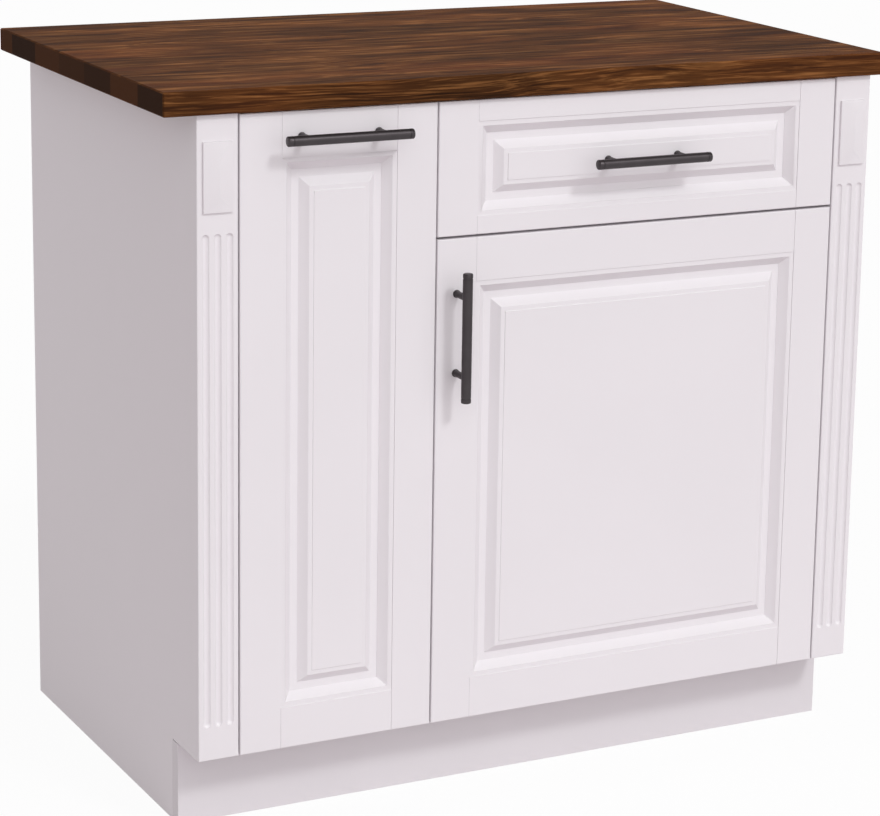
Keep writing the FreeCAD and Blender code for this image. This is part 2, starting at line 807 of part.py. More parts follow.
def handle_screws(label, posts, depth, back_depth):
    """Two screws from behind a front into the handle's posts, and the holes they pass."""
    screws = []
    holes = []
    for post_x, post_z in posts:
        tip_y = f"face_y + {depth} - screw_grip"
        shank = plain_rod(label + "_shank", (post_x, tip_y, post_z), "screw_radius",
                          f"{back_depth} - {depth} + screw_grip", Y_AXIS)
        head = plain_rod(label + "_head", (post_x, f"face_y + {back_depth}", post_z),
                         "screw_head_radius", "screw_head_height", Y_AXIS)
        screws.append(joined(label + "_screw", [shank, head]))
        holes.append(rod(label + "_hole", (post_x, "face_y", post_z),
                         "screw_radius + screw_hole_clearance", "front_thickness", Y_AXIS))
    keep(label, grouped(label, screws))
    return holes


# The pull-out's handle lies on its top rail, the drawer's on the middle of its field, and the
# door's stands on the stile away from the hinges.
pull_out_handle_z = "front_top_z - handle_inset"
drawer_handle_z = ("drawer_z + (drawer_front_height + drawer_bottom_rail_width"
                   " - drawer_top_rail_width) / 2")
door_handle_x = "door_x + stile_width / 2"
door_handle_z = "door_top_z - door_handle_drop"

bar_handle("pull_out_handle", ("pull_out_middle_x", pull_out_handle_z), "0", 0)
bar_handle("drawer_handle", ("drawer_middle_x", drawer_handle_z), "field_depth", 0)
bar_handle("door_handle", (door_handle_x, door_handle_z), "0", 90)

pull_out_holes = handle_screws("pull_out_handle_screws", [
    ("pull_out_middle_x - handle_centres / 2", pull_out_handle_z),
    ("pull_out_middle_x + handle_centres / 2", pull_out_handle_z),
], "0", "front_thickness")
drawer_holes = handle_screws("drawer_handle_screws", [
    ("drawer_middle_x - handle_centres / 2", drawer_handle_z),
    ("drawer_middle_x + handle_centres / 2", drawer_handle_z),
], "field_depth", "panel_back_depth")
door_holes = handle_screws("door_handle_screws", [
    (door_handle_x, f"{door_handle_z} - handle_centres / 2"),
    (door_handle_x, f"{door_handle_z} + handle_centres / 2"),
], "0", "front_thickness")

# --- The door's concealed hinges -------------------------------------------------------------

hinge_bores = []
hinge_cups = []
hinge_plates = []
hinge_arms = []
for hinge_z in ("low_hinge_z", "high_hinge_z"):
    cup_y = "box_y - hinge_cup_depth"
    hinge_bores.append(rod("hinge_bore", ("hinge_cup_x", cup_y, hinge_z),
                           "hinge_cup_radius + hinge_cup_clearance", "hinge_cup_depth", Y_AXIS))
    shell = rod("hinge_cup_shell", ("hinge_cup_x", cup_y, hinge_z), "hinge_cup_radius",
                "hinge_cup_depth + hinge_cup_wall", Y_AXIS)
    wings = block("hinge_cup_wings",
                  ("hinge_cup_x - hinge_wing_width / 2", "box_y", f"{hinge_z} - hinge_wing_height / 2"),
                  ("hinge_cup_x + hinge_wing_width / 2", "box_y + hinge_cup_wall",
                   f"{hinge_z} + hinge_wing_height / 2"))
    hollow = rod("hinge_cup_hollow", ("hinge_cup_x", f"{cup_y} + hinge_cup_wall", hinge_z),
                 "hinge_cup_radius - hinge_cup_wall", "hinge_cup_depth", Y_AXIS)
    hinge_cups.append(cut("hinge_cup", joined("hinge_cup_body", [shell, wings]), [hollow]))
    hinge_plates.append(block(
        "hinge_plate",
        ("hinge_plate_x", "hinge_plate_y", f"{hinge_z} - hinge_plate_height / 2"),
        ("right_bay_x", "hinge_plate_y + hinge_plate_depth", f"{hinge_z} + hinge_plate_height / 2")))
    arm_low_z = f"{hinge_z} - hinge_arm_width / 2"
    arm_high_z = f"{hinge_z} + hinge_arm_width / 2"
    root_of_arm = block("hinge_arm_root", ("hinge_arm_x", "hinge_plate_y", arm_low_z),
                        ("hinge_plate_x", "hinge_plate_y + hinge_plate_depth", arm_high_z))
    tip_of_arm = block("hinge_arm_tip", ("hinge_arm_x", "face_y + hinge_arm_tip_depth", arm_low_z),
                       ("hinge_arm_x + hinge_arm_thickness", "hinge_plate_y", arm_high_z))
    hinge_arms.append(joined("hinge_arm", [root_of_arm, tip_of_arm]))
keep("hinge_cups", grouped("hinge_cups", hinge_cups))
keep("hinge_plates", grouped("hinge_plates", hinge_plates))
keep("hinge_arms", grouped("hinge_arms", hinge_arms))

pull_out_pieces = framed_front("pull_out", "pull_out_x", "box_z", "pull_out_front_width",
                               "pull_out_height", "bottom_rail_width", "top_rail_width")
keep_front(pull_out_pieces, {"pull_out_top_rail": pull_out_holes})
drawer_pieces = framed_front("drawer_front", "door_x", "drawer_z", "door_width",
                             "drawer_front_height", "drawer_bottom_rail_width",
                             "drawer_top_rail_width")
keep_front(drawer_pieces, {"drawer_front_panel": drawer_holes})
door_pieces = framed_front("door", "door_x", "box_z", "door_width",
                           "door_height", "bottom_rail_width", "top_rail_width")
keep_front(door_pieces, {"door_left_stile": door_holes, "door_right_stile": hinge_bores})

# --- The telescopic slides: three nested channels on each side -------------------------------


def channel_outline(web_x, lip_x, half_height):
    """A C-shaped section: its web at web_x, its two flanges reaching to lip_x."""
    inner = f"{half_height} - slide_metal_thickness"
    towards_lip = "-" if web_x == "slide_thickness" else "+"
    web_inner = f"{web_x} {towards_lip} slide_metal_thickness"
    return [
        (web_x, f"-({half_height})"),
        (lip_x, f"-({half_height})"),
        (lip_x, f"-({inner})"),
        (web_inner, f"-({inner})"),
        (web_inner, inner),
        (lip_x, inner),
        (lip_x, half_height),
        (web_x, half_height),
    ]


MIDDLE_HALF = "slide_height / 2 - slide_metal_thickness - ball_race_height"
INNER_HALF = "slide_height / 2 - 2 * slide_metal_thickness - 2 * ball_race_height"
CHANNELS = {
    "cabinet": ("0", "slide_thickness - channel_inset", "slide_height / 2"),
    "middle": ("channel_inset", "slide_thickness - slide_metal_thickness - channel_clearance", MIDDLE_HALF),
    "moving": ("slide_thickness", "channel_inset + slide_metal_thickness + channel_clearance", INNER_HALF),
}


def slides(name, left_wall_x, right_wall_x, middle_z):
    """A pair of telescopic slides, each kind of channel a node of its own."""
    for part, (web_x, lip_x, half_height) in CHANNELS.items():
        pair = []
        for wall_x, angle in ((left_wall_x, 0), (right_wall_x, 180)):
            body = new_body(f"{name}_{part}_channel")
            outline = channel_outline(web_x, lip_x, half_height)
            pad(body, sketch(body, "XZ_Plane", [outline]), "slide_length", backwards=True)
            move(body, (wall_x, "slide_y", middle_z), ((0, 1, 0), angle))
            pair.append(body)
        label = f"{name}_slide_{part}_channels"
        keep(label, grouped(label, pair))


slides("drawer", "divider_end_x", "right_bay_x", "drawer_slide_z")
slides("pull_out", "left_bay_x", "divider_x", "tray_slide_z")

# --- The drawer's box -------------------------------------------------------------------------


def drawer_side(label, corner_x, groove_x):
    blank = block(label + "_blank", (corner_x, "box_y", "drawer_box_z"),
                  (f"{corner_x} + drawer_side_thickness", "box_y + drawer_box_length",
                   "drawer_box_z + drawer_box_height"))
    groove = block(label + "_groove", (groove_x, "box_y", "drawer_bottom_z"),
                   (f"{groove_x} + drawer_groove_depth", "box_y + drawer_box_length",
                    "drawer_bottom_z + drawer_bottom_thickness"))
    keep(label, cut(label, blank, [groove]))


drawer_inner_x = "drawer_box_x + drawer_side_thickness"
drawer_inner_end_x = "drawer_box_end_x - drawer_side_thickness"
drawer_side("drawer_left_side", "drawer_box_x", f"{drawer_inner_x} - drawer_groove_depth")
drawer_side("drawer_right_side", drawer_inner_end_x, drawer_inner_end_x)
board("drawer_box_front",
      (drawer_inner_x, "box_y", "drawer_bottom_z + drawer_bottom_thickness"),
      (drawer_inner_end_x, "box_y + drawer_side_thickness", "drawer_box_z + drawer_box_height"))
board("drawer_box_back",
      (drawer_inner_x, "box_y + drawer_box_length - drawer_side_thickness",
       "drawer_bottom_z + drawer_bottom_thickness"),
      (drawer_inner_end_x, "box_y + drawer_box_length", "drawer_box_z + drawer_box_height"))
board("drawer_bottom",
      (f"{drawer_inner_x} - drawer_groove_depth", "box_y", "drawer_bottom_z"),
      (f"{drawer_inner_end_x} + drawer_groove_depth", "box_y + drawer_box_length",
       "drawer_bottom_z + drawer_bottom_thickness"))

# --- The pull-out's three trays and the board that carries them ------------------------------


def tray(label, corner_z):
    """A moulded tray: rounded upright corners, one hollow, an open top."""
    body = new_body(label)
    width = "tray_end_x - tray_x"
    pad(body, sketch(body, "XY_Plane", [rectangle(("0", "0"), (width, "tray_length"))]), "tray_height")
    before = body.Shape.Volume
    hollow = body.newObject("PartDesign::Pocket", label + "_hollow")
    hollow.Profile = sketch(body, "XY_Plane", [rectangle(
        ("tray_wall", "tray_wall"), (f"{width} - tray_wall", "tray_length - tray_wall"))], "tray_height")
    bind(hollow, "Length", "tray_height - tray_wall")
    doc.recompute()
    if hollow.Shape.Volume >= before:
        raise RuntimeError(label + ": the hollow cuts nothing")
    inner_height = value("tray_height - tray_wall")
    outer_height = value("tray_height")
    dress_edges(body, "Fillet", "tray_corner_round", lambda box: near(box.ZLength, inner_height))
    dress_edges(body, "Fillet", "tray_corner_round + tray_wall",
                lambda box: near(box.ZLength, outer_height))
    move(body, ("tray_x", "box_y", corner_z))
    keep(label, body)


for level, tray_label in enumerate(("lower_tray", "middle_tray", "upper_tray")):
    tray(tray_label, f"tray_z + {level} * tray_spacing")
board("tray_carrier_board",
      ("tray_x", "carrier_y", "tray_z"),
      ("tray_end_x", "carrier_y + carrier_thickness", "tray_z + 2 * tray_spacing + tray_height"))

# --- Check every object, then write each piece -----------------------------------------------

doc.recompute()
failed = [thing.Name for thing in doc.Objects if {"Invalid", "Error"} & set(thing.State)]
if failed:
    raise RuntimeError("failed objects: " + ", ".join(failed))
for label, piece in nodes.items():
    if piece.Shape.isNull() or not piece.Shape.isValid() or not piece.Shape.Solids:
        raise RuntimeError(label + ": its shape is not a valid solid")

os.makedirs("parts", exist_ok=True)
whole = FreeCAD.BoundBox()
for label, piece in nodes.items():
    piece.Shape.exportStep(f"parts/{label}.step")
    whole.add(piece.Shape.BoundBox)
sides = [round(side, 2) for side in (whole.XLength, whole.YLength, whole.ZLength)]
print(len(nodes), "pieces, overall", sides)
print("middle", round(whole.Center.x, 2), round(whole.Center.y, 2), "lowest", round(whole.ZMin, 2))
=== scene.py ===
# %% [markdown]
# # A painted kitchen island with a stained wood worktop
# The real thing is a base cabinet with a pull-out, a drawer over a door, and a thick wood top. It
# could all be modelled here, but a construction model already has every board, hinge and slide in
# its place, and nothing in it is moved. So this lesson only dresses it: each piece gets a finish,
# boards and trays get eased edges, and the handles and screws are modelled again more finely.

# %% Load the model
import json
import math

import bmesh
import bpy
from mathutils import Matrix, Vector

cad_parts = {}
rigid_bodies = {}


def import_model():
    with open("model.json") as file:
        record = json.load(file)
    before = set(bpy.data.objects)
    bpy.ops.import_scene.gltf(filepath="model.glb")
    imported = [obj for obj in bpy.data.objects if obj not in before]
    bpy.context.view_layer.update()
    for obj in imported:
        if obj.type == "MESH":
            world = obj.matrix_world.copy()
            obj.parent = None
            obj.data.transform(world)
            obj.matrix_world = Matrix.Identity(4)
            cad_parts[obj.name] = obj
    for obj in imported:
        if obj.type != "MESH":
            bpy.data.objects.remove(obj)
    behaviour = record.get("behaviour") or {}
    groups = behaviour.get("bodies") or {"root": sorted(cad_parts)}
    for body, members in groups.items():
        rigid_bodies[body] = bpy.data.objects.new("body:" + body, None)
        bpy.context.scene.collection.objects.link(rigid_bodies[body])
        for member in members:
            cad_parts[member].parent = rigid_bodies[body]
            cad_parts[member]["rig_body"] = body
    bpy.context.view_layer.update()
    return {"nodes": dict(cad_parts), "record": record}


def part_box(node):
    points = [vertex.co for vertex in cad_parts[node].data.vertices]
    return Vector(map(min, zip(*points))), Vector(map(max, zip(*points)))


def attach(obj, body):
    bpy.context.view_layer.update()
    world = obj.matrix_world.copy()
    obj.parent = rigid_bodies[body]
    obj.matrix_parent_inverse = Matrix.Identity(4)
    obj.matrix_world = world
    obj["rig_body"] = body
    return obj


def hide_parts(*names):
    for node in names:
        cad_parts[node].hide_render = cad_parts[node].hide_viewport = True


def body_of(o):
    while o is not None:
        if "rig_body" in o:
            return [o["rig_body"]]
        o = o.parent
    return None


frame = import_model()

NODES = frame["nodes"]
MM = 0.001

# %% [markdown]
# ## Camera
# The photograph was taken from the front left with a long lens, a little above the worktop, and
# then cropped, so the lens axis doesn't meet its middle. The eye could be placed by trial, but
# lining up the cabinet's long edges with those in the photograph fixes its place, direction and
# focal length at once. A camera's shift then says how far the crop moved the axis.

# %% What lining up the edges gave
PHOTO_WIDTH = 880
PHOTO_HEIGHT = 816
EYE = Vector((-1.6367, -3.2883, 1.3933))
HEADING = math.radians(28.567)
TILT = math.radians(-12.804)
ROLL = math.radians(1.304)
FOCAL_PIXELS = 2951.8
AXIS_X = 545
AXIS_Y = 303
print("the eye is", round(EYE.length, 2), "m from the cabinet's foot")

# %% The camera at the photograph's angle
lens = bpy.data.cameras.new("camera")
lens.sensor_fit = "HORIZONTAL"
lens.lens = FOCAL_PIXELS / PHOTO_WIDTH * lens.sensor_width
lens.shift_x = (PHOTO_WIDTH / 2 - AXIS_X) / PHOTO_WIDTH
lens.shift_y = (AXIS_Y - PHOTO_HEIGHT / 2) / PHOTO_WIDTH
lens.clip_end = 200

forward = Vector((
    math.sin(HEADING) * math.cos(TILT),
    math.cos(HEADING) * math.cos(TILT),
    math.sin(TILT),
))
level = Vector((math.cos(HEADING), -math.sin(HEADING), 0))
upright = level.cross(forward)
right = math.cos(ROLL) * level + math.sin(ROLL) * upright
up = math.cos(ROLL) * upright - math.sin(ROLL) * level

camera = bpy.data.objects.new("camera", lens)
bpy.context.scene.collection.objects.link(camera)
camera.matrix_world = Matrix.Translation(EYE) @ Matrix((right, up, -forward)).transposed().to_4x4()
bpy.context.scene.camera = camera
print("camera lens", round(lens.lens, 1), "mm, shift", round(lens.shift_x, 3), round(lens.shift_y, 3))

# %% [markdown]
# ## Shader arithmetic
# On a real object no surface is one flat colour, so each finish is a small graph of nodes that
# vary it from point to point. Such a graph could be written node by node, but that is hard to
# read. Three short classes help instead. A Graph adds any node from its type, settings and inputs,
# a Finish is a Graph with names for the nodes that are used here, and a Wire is an output socket
# that takes part in Python arithmetic, where each operator adds one Math node.


# %% A socket that can be calculated with
class Wire:
    def __init__(self, finish, socket):
        self.finish = finish
        self.socket = socket

    def math(self, operation, first, second=0.0):
        return self.finish.node("Math", {"operation": operation}, {0: first, 1: second})

    def __add__(self, other):
        return self.math("ADD", self, other)

    def __radd__(self, other):
        return self.math("ADD", other, self)

    def __sub__(self, other):
        return self.math("SUBTRACT", self, other)

    def __rsub__(self, other):
        return self.math("SUBTRACT", other, self)

    def __mul__(self, other):
        return self.math("MULTIPLY", self, other)

    def __rmul__(self, other):
        return self.math("MULTIPLY", other, self)

    def __truediv__(self, other):
        return self.math("DIVIDE", self, other)

    def __abs__(self):
        return self.math("ABSOLUTE", self)

    def floor(self):
        return self.math("FLOOR", self)

    def sine(self):
        return self.math("SINE", self)

    def root(self):
        return self.math("SQRT", self)

    def larger(self, other):
        return self.math("MAXIMUM", self, other)

    def ramp(self, low, high):
        """0 below the low value, 1 above the high one, and smooth between them."""
        settings = {"interpolation_type": "SMOOTHSTEP"}
        return self.finish.node("MapRange", settings, {"Value": self, "From Min": low, "From Max": high})


# %% Colours
def linear(red, green, blue):
    """A colour as a screen shows it, 0 to 255, turned into the light that Blender works in."""
    parts = [value / 255 for value in (red, green, blue)]
    return [part / 12.92 if part < 0.04045 else ((part + 0.055) / 1.055) ** 2.4 for part in parts] + [1.0]


def shaded(colour, share):
    return [part * share for part in colour[:3]] + [1.0]


print("middle grey on a screen is", round(linear(128, 128, 128)[0], 3), "of white's light")


# %% A material and its graph of nodes
class Graph:
    def __init__(self, name, constants):
        self.material = bpy.data.materials.new(name)
        self.material.use_nodes = True
        self.tree = self.material.node_tree
        self.shader = self.tree.nodes["Principled BSDF"]
        self.feed(self.shader, constants)

    def feed(self, node, inputs):
        for name, value in inputs.items():
            if isinstance(value, Wire):
                self.tree.links.new(value.socket, node.inputs[name])
            else:
                node.inputs[name].default_value = value

    def node(self, kind, settings, inputs, output=0):
        made = self.tree.nodes.new("ShaderNode" + kind)
        for name, setting in settings.items():
            setattr(made, name, setting)
        self.feed(made, inputs)
        return Wire(self, made.outputs[output])

    def surface(self, **inputs):
        self.feed(self.shader, {name.replace("_", " "): value for name, value in inputs.items()})
        return self.material


# %% The nodes that the finishes use
class Finish(Graph):
    def point(self):
        """Where on the object the surface is, in metres."""
        return self.node("TexCoord", {}, {}, "Object")

    def axis(self, vector, letter):
        return self.node("SeparateXYZ", {}, {"Vector": vector}, letter)

    def vector(self, x, y, z):
        return self.node("CombineXYZ", {}, {"X": x, "Y": y, "Z": z})

    def add(self, first, second):
        return self.node("VectorMath", {"operation": "ADD"}, {0: first, 1: second})

    def scaled(self, vector, factors):
        return self.node("VectorMath", {"operation": "MULTIPLY"}, {0: vector, 1: factors})

    def chance(self, number):
        """A value from 0 to 1 that is always the same for the same number."""
        return self.node("TexWhiteNoise", {"noise_dimensions": "1D"}, {"W": number})

    def noise(self, vector, scale, detail=2.0, roughness=0.5, distortion=0.0):
        return self.node("TexNoise", {}, {"Vector": vector, "Scale": scale, "Detail": detail,
                                          "Roughness": roughness, "Distortion": distortion})

    def streaks(self, vector, sizes, detail=2.0, roughness=0.5, distortion=0.0):
        """Noise whose blotches are this long along each axis, in metres."""
        factors = [1 / size for size in sizes]
        return self.noise(self.scaled(vector, factors), 1.0, detail, roughness, distortion)

    def mix(self, share, first, second, blend="MIX"):
        settings = {"data_type": "RGBA", "blend_type": blend, "clamp_result": False}
        return self.node("Mix", settings, {0: share, 6: first, 7: second}, 2)

    def toned(self, colour, tone):
        """A colour with its red, green and blue multiplied by the same number."""
        return self.mix(1.0, colour, self.vector(tone, tone, tone), "MULTIPLY")

    def bump(self, height, distance):
        return self.node("Bump", {}, {"Height": height, "Distance": distance, "Strength": 1.0})


print("the node methods:", ", ".join(name for name in vars(Finish) if not name.startswith("_")))

# %% [markdown]
# ## Painted and coated boards
# The fronts, pilasters and panels are board under a smooth cool-white satin coat. The toe kick's
# coat is given a little greyer, which is painted shade for the shade under the set-back fronts.
# Inside are melamine boards, grey plastic trays and black plastic legs. One flat colour would do
# from far off, but a coat is never quite even. So a broad noise makes clouds of slightly different
# tone and sheen, and a fine one an orange peel about a millimetre across, which only a raking light
# shows.

# %% A coated board
FINISHES = {}
COAT_SHINE = 0.45
CLOUD_SCALE = 4.0


def coated_board(name, tone, roughness, peel_size, peel_height):
    finish = Finish(name, {"Specular IOR Level": COAT_SHINE})
    point = finish.point()
    clouds = finish.noise(point, CLOUD_SCALE, detail=3.0)
    peel = finish.noise(point, 1 / peel_size, detail=2.0)
    colour = finish.mix(clouds.ramp(0.3, 0.7), shaded(tone, 0.985), tone)
    FINISHES[name] = finish.surface(
        Base_Color=colour,
        Roughness=roughness + 0.08 * clouds,
        Normal=finish.bump(peel, peel_height),
    )


# %% The coats
COOL_WHITE = linear(239, 235, 238)
coated_board("white_paint", COOL_WHITE, 0.36, 1.3 * MM, 0.02 * MM)
# The toe kick's greyer colour is painted shade, for the shade under the set-back fronts.
coated_board("toe_kick_painted_shade", linear(229, 225, 228), 0.42, 1.3 * MM, 0.02 * MM)
coated_board("white_melamine", linear(236, 235, 232), 0.45, 0.6 * MM, 0.03 * MM)
coated_board("grey_tray_plastic", linear(168, 170, 172), 0.5, 0.5 * MM, 0.04 * MM)
coated_board("black_leg_plastic", linear(38, 38, 39), 0.5, 0.8 * MM, 0.04 * MM)
print("coated finishes:", ", ".join(FINISHES))

# %% [markdown]
# ## The worktop's wood
# Staves of hardwood are glued edge to edge along the worktop and stained dark. A photograph of
# wood could be laid on it, but noise needs no picture and has no seams. Each stave takes its noise
# from a place of its own, as if from another tree, so the pattern jumps and changes tone from one
# to the next. Noise stretched along the grain gives the light and dark fibres, a finer one the
# pores. The ends cut across the fibres, which drink more stain and turn nearly black-brown.

# %% The staves
STAVE_WIDTH = 88 * MM
STAVE_START = 20 * MM
# How far, in metres, a stave's place in the noise may jump along each axis.
JUMPS = (9.0, 3.0, 5.0)
OTHER_CHANCE = 0.37
# How far a normal leans along an axis, from not facing that way to facing it.
FACING = (0.6, 0.8)


class Staves:
    """Which stave the surface belongs to, and where in that stave's own noise it lies."""

    def __init__(self, finish):
        self.point = finish.point()
        self.across = finish.axis(self.point, "Y") + STAVE_START
        self.number = (self.across / STAVE_WIDTH).floor()
        self.chance = finish.chance(self.number)
        self.other_chance = finish.chance(self.number + OTHER_CHANCE)
        chances = (self.chance, self.other_chance, self.chance)
        jump = finish.vector(*(chance * far for chance, far in zip(chances, JUMPS)))
        self.place = finish.add(self.point, jump)
        normal = finish.node("NewGeometry", {}, {}, "True Normal")
        self.long_edge = abs(finish.axis(normal, "Y")).ramp(*FACING)
        self.cut_end = abs(finish.axis(normal, "X")).ramp(*FACING)


print("worktop staves", round(STAVE_WIDTH / MM), "mm wide")

# %% Fibres and pores
BEND_SIZES = (260 * MM, 60 * MM, 60 * MM)
FIGURE_SIZES = (180 * MM, 13 * MM, 6 * MM)
FIBRE_SIZES = (85 * MM, 3.8 * MM, 2.2 * MM)
PORE_SIZES = (18 * MM, 0.8 * MM, 0.8 * MM)


def grain(finish, staves):
    """Broad figure and fine fibres, which bend a little along the stave, and straight pores."""
    bend = finish.streaks(staves.place, BEND_SIZES, detail=1.0)
    bent = finish.add(staves.place, finish.vector(0.0, bend * 0.045, bend * 0.03))
    figure = finish.streaks(bent, FIGURE_SIZES, detail=3.0, roughness=0.55, distortion=0.3)
    fibre = finish.streaks(bent, FIBRE_SIZES, detail=3.0, roughness=0.6)
    pore = finish.streaks(staves.place, PORE_SIZES, detail=1.0).ramp(0.62, 0.72)
    return figure, fibre, pore


print("fibres about", round(FIBRE_SIZES[0] / MM), "mm long and", round(FIBRE_SIZES[1] / MM, 1), "mm wide")

# %% The colour along the grain
DARK_STAIN = linear(68, 39, 20)
MIDDLE_STAIN = linear(105, 63, 31)
LIGHT_STAIN = linear(158, 106, 60)
RUSSET_STAIN = linear(112, 56, 26)
FLAME = linear(186, 122, 70)
BROAD_SIZES = (350 * MM, 70 * MM, 70 * MM)
PATCH_SIZES = (200 * MM, 70 * MM, 70 * MM)
RUSSET_SHARE = 0.4
PORE_SHARE = 0.4
FLAME_SHARE = 0.24
EDGE_SHADE = 0.34


def long_colour(finish, staves, figure, fibre, pore):
    """Stained fibres with russet areas and dark patches. The long edges are darker, with flames."""
    strength = figure * 0.62 + fibre * 0.38
    broad = finish.streaks(staves.place, BROAD_SIZES, detail=2.0)
    patch = finish.streaks(staves.place, PATCH_SIZES, detail=2.0)
    colour = finish.mix(strength.ramp(0.38, 0.50), DARK_STAIN, MIDDLE_STAIN)
    colour = finish.mix(strength.ramp(0.50, 0.66), colour, LIGHT_STAIN)
    colour = finish.mix(broad.ramp(0.45, 0.75) * RUSSET_SHARE, colour, RUSSET_STAIN)
    colour = finish.mix(pore * PORE_SHARE, colour, DARK_STAIN)
    stave_tone = 0.93 + staves.chance * 0.14
    patch_tone = 0.66 + 0.6 * patch.ramp(0.34, 0.66)
    colour = finish.toned(colour, stave_tone * patch_tone * (1.0 - EDGE_SHADE * staves.long_edge))
    flame = staves.long_edge * fibre.ramp(0.50, 0.70)
    return finish.mix(flame * FLAME_SHARE, colour, FLAME)


print("the stain returns", round(DARK_STAIN[0], 3), "to", round(LIGHT_STAIN[0], 3), "of red light")

# %% The colour across the cut ends
RING_PITCH = 2.6 * MM
PITH_HEIGHT = 0.83
END_STAIN = linear(84, 50, 26)


def end_colour(finish, staves, fibre):
    """Rings about a pith that lies somewhere below each stave, on a tone that changes with it."""
    pith_y = staves.across - (staves.number + staves.chance * 1.6 - 0.3) * STAVE_WIDTH
    pith_z = finish.axis(staves.point, "Z") - PITH_HEIGHT - staves.other_chance * 0.04
    radius = (pith_y * pith_y + pith_z * pith_z).root()
    ring = (radius * (2 * math.pi / RING_PITCH) + fibre * 3.0).sine() * 0.5 + 0.5
    stave_tone = 0.58 + 0.26 * (staves.number * 2.4).sine()
    return finish.toned(END_STAIN, stave_tone * (0.88 + 0.16 * ring))


print("rings", round(RING_PITCH / MM, 1), "mm apart on the cut ends")

# %% The stained finish
STAIN_SHINE = 0.06
GRAIN_RELIEF = 0.12 * MM


def stained_staves(name):
    finish = Finish(name, {"Specular IOR Level": STAIN_SHINE})
    staves = Staves(finish)
    figure, fibre, pore = grain(finish, staves)
    colour = long_colour(finish, staves, figure, fibre, pore)
    FINISHES[name] = finish.surface(
        Base_Color=finish.mix(staves.cut_end, colour, end_colour(finish, staves, fibre)),
        Roughness=0.6 + 0.14 * fibre + 0.1 * staves.cut_end,
        Normal=finish.bump(fibre * 0.5 - pore * 0.6, GRAIN_RELIEF),
    )
    print(name, "has", len(finish.tree.nodes), "nodes")


stained_staves("stained_butcher_block")

# %% [markdown]
# ## Birch
# The drawer's box is pale lacquered birch boards, each with its grain along its length. The
# worktop's finish could be reused with other colours, but its staves and cut ends aren't wanted
# here. Two layers of stretched noise are enough. One finish runs along the depth and one along the
# width, because the grain follows the board.

# %% Birch boards
PALE_BIRCH = linear(226, 200, 160)
TAN_BIRCH = linear(198, 166, 122)
FIBRE_RELIEF = 0.05 * MM


def birch(name, sizes):
    finish = Finish(name, {"Specular IOR Level": COAT_SHINE})
    point = finish.point()
    figure = finish.streaks(point, sizes, detail=3.0, roughness=0.55, distortion=0.6)
    fibre = finish.streaks(point, [size / 6 for size in sizes], detail=2.0)
    FINISHES[name] = finish.surface(
        Base_Color=finish.mix((figure * 0.7 + fibre * 0.3).ramp(0.35, 0.68), TAN_BIRCH, PALE_BIRCH),
        Roughness=0.4 + 0.12 * fibre,
        Normal=finish.bump(fibre, FIBRE_RELIEF),
    )
    print(name, "has", len(finish.tree.nodes), "nodes")


birch("birch_drawer_box", (10 * MM, 160 * MM, 10 * MM))
birch("birch_across", (160 * MM, 10 * MM, 10 * MM))

# %% [markdown]
# ## Metals
# The handles are brushed dark bronze. The slides, hinges and screws are zinc or nickel on steel.
# Brush marks could be modelled as grooves, but they are far too fine. All are one recipe instead:
# a metal whose brush marks are noise, stretched along the piece, that varies its roughness and
# tilts its surface a little, so a highlight spreads across the marks.

# %% Brushed and plated metals
BLOTCH_SCALE = 60.0


def metal(name, tone, roughness, sizes, depth):
    finish = Finish(name, {"Metallic": 1.0})
    point = finish.point()
    brushing = finish.streaks(point, sizes, detail=2.0)
    blotches = finish.noise(point, BLOTCH_SCALE, detail=2.0)
    FINISHES[name] = finish.surface(
        Base_Color=finish.mix(blotches.ramp(0.3, 0.7), shaded(tone, 0.9), tone),
        Roughness=roughness + 0.12 * brushing,
        Normal=finish.bump(brushing, depth),
    )


# %% The metals
DARK_BRONZE = linear(79, 74, 76)
metal("dark_bronze", DARK_BRONZE, 0.35, (20 * MM, 0.6 * MM, 0.6 * MM), 0.01 * MM)
metal("dark_bronze_upright", DARK_BRONZE, 0.35, (0.6 * MM, 0.6 * MM, 20 * MM), 0.01 * MM)
metal("zinc_steel", linear(196, 196, 192), 0.28, (4 * MM, 4 * MM, 4 * MM), 0.01 * MM)
metal("slide_steel", linear(186, 188, 190), 0.26, (1.2 * MM, 50 * MM, 1.2 * MM), 0.01 * MM)
metal("nickel_hinge", linear(188, 184, 176), 0.22, (3 * MM, 3 * MM, 3 * MM), 0.006 * MM)
print(len(FINISHES), "finishes")

# %% [markdown]
# ## Dress the pieces
# On the real unit each part has its finish before it is fitted: painted fronts, coated boards,
# stained wood, plated steel. The finishes could be handed out by a long list of pieces. But the
# model already says which material slot each piece has, and a slot's name is also its finish's
# name. So only a few pieces need another finish: those whose grain or brushing runs another way,
# and the toe kick, whose greyer coat is painted shade.

# %% Give every piece its finish
SLOT_OF = {part["node"]: part["material_slot"] for part in frame["record"]["subparts"]}
OTHER_FINISH = {
    # The toe kick gets the coat with painted shade, for the shade under the fronts.
    "toe_kick_board": "toe_kick_painted_shade",
    "door_handle": "dark_bronze_upright",
    "drawer_box_front": "birch_across",
    "drawer_box_back": "birch_across",
}


def dress(piece, finish_name):
    piece.data.materials.clear()
    piece.data.materials.append(FINISHES[finish_name])


for node_name, node in NODES.items():
    dress(node, OTHER_FINISH.get(node_name, SLOT_OF[node_name]))
print("dressed", len(NODES), "pieces")

# %% [markdown]
# ## Eased edges
# No edge of a painted board is a knife edge: it is sanded first, and the coat rounds it further. A
# sharp edge in a render catches no light and looks like cardboard. A shader can fake a round, but
# the mesh then stays sharp. So each board or tray is copied, its loose triangles are merged into
# flat faces, and its sharp edges get a small round with the bevel operator. The mitres of the
# mouldings are filled and painted over, so their edges stay closed. Weighted normals then keep the
# flat faces flat.


